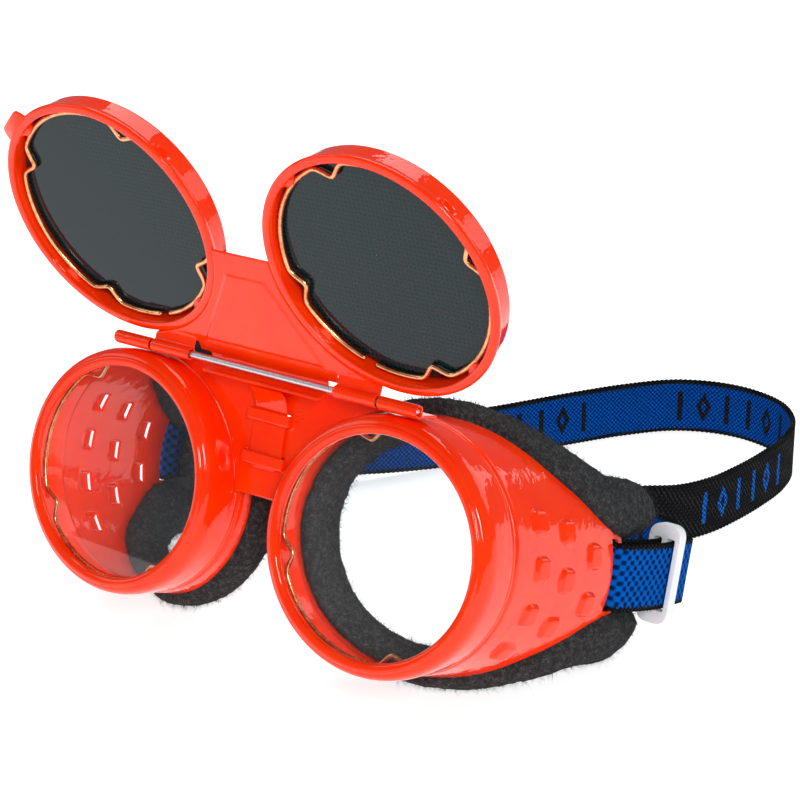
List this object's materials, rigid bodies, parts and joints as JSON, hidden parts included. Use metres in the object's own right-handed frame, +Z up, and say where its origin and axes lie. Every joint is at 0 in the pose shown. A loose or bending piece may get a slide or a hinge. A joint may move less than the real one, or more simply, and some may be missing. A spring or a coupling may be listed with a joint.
{
  "type": "flip-up welding goggles",
  "caption": "Flip-up welding goggles: vented steel eye cups with felt seals and clear lenses, a hinged front with dark filters, and an elastic strap.",
  "frame": {"origin": "middle of the footprint of the goggles as posed, leaned back with the strap looped behind them, at the height of their lowest point", "axes": "+Z up, +X across the face towards the slider's side, -Y towards the work that the lenses look at"},
  "size_m": [0.1354, 0.1948, 0.1228],
  "materials": {
    "enamel": "glossy orange-red enamel",
    "bright_steel": "drawn wire, lightly worn",
    "copper_wire": "copper-plated spring wire",
    "felt": "thick fuzzy black felt",
    "clear_glass": "clear and polished",
    "dark_glass": "very dark grey-green, polished",
    "webbing": "elastic webbing, blue on one face and black on the other",
    "white_plastic": "satin moulded nylon"
  },
  "bodies": {
    "frame": {"left_eye_cup": "enamel", "right_eye_cup": "enamel", "left_lens_bezel": "enamel", "right_lens_bezel": "enamel", "left_clear_lens": "clear_glass", "right_clear_lens": "clear_glass", "left_lens_wire": "copper_wire", "right_lens_wire": "copper_wire", "left_face_seal": "felt", "right_face_seal": "felt", "nose_bridge": "enamel", "detent_spring": "enamel", "hinge_rod": "bright_steel", "head_strap": "webbing"},
    "front": {"flip_plate": "enamel", "left_filter_cup": "enamel", "right_filter_cup": "enamel", "left_filter": "dark_glass", "right_filter": "dark_glass", "left_filter_wire": "copper_wire", "right_filter_wire": "copper_wire"},
    "slider": {"strap_slider": "white_plastic"}
  },
  "joints": [
    {"name": "front_hinge", "type": "hinge", "parent": "frame", "child": "front", "pos_m": [-0.00186, -0.08065, 0.06723], "axis": [1, 0, 0], "range_deg": [0, 145]},
    {"name": "slider_slide", "type": "slide", "parent": "frame", "child": "slider", "axis": [-0.0953, 0.9569, -0.2744], "range_m": [0, 0.008]}
  ]
}
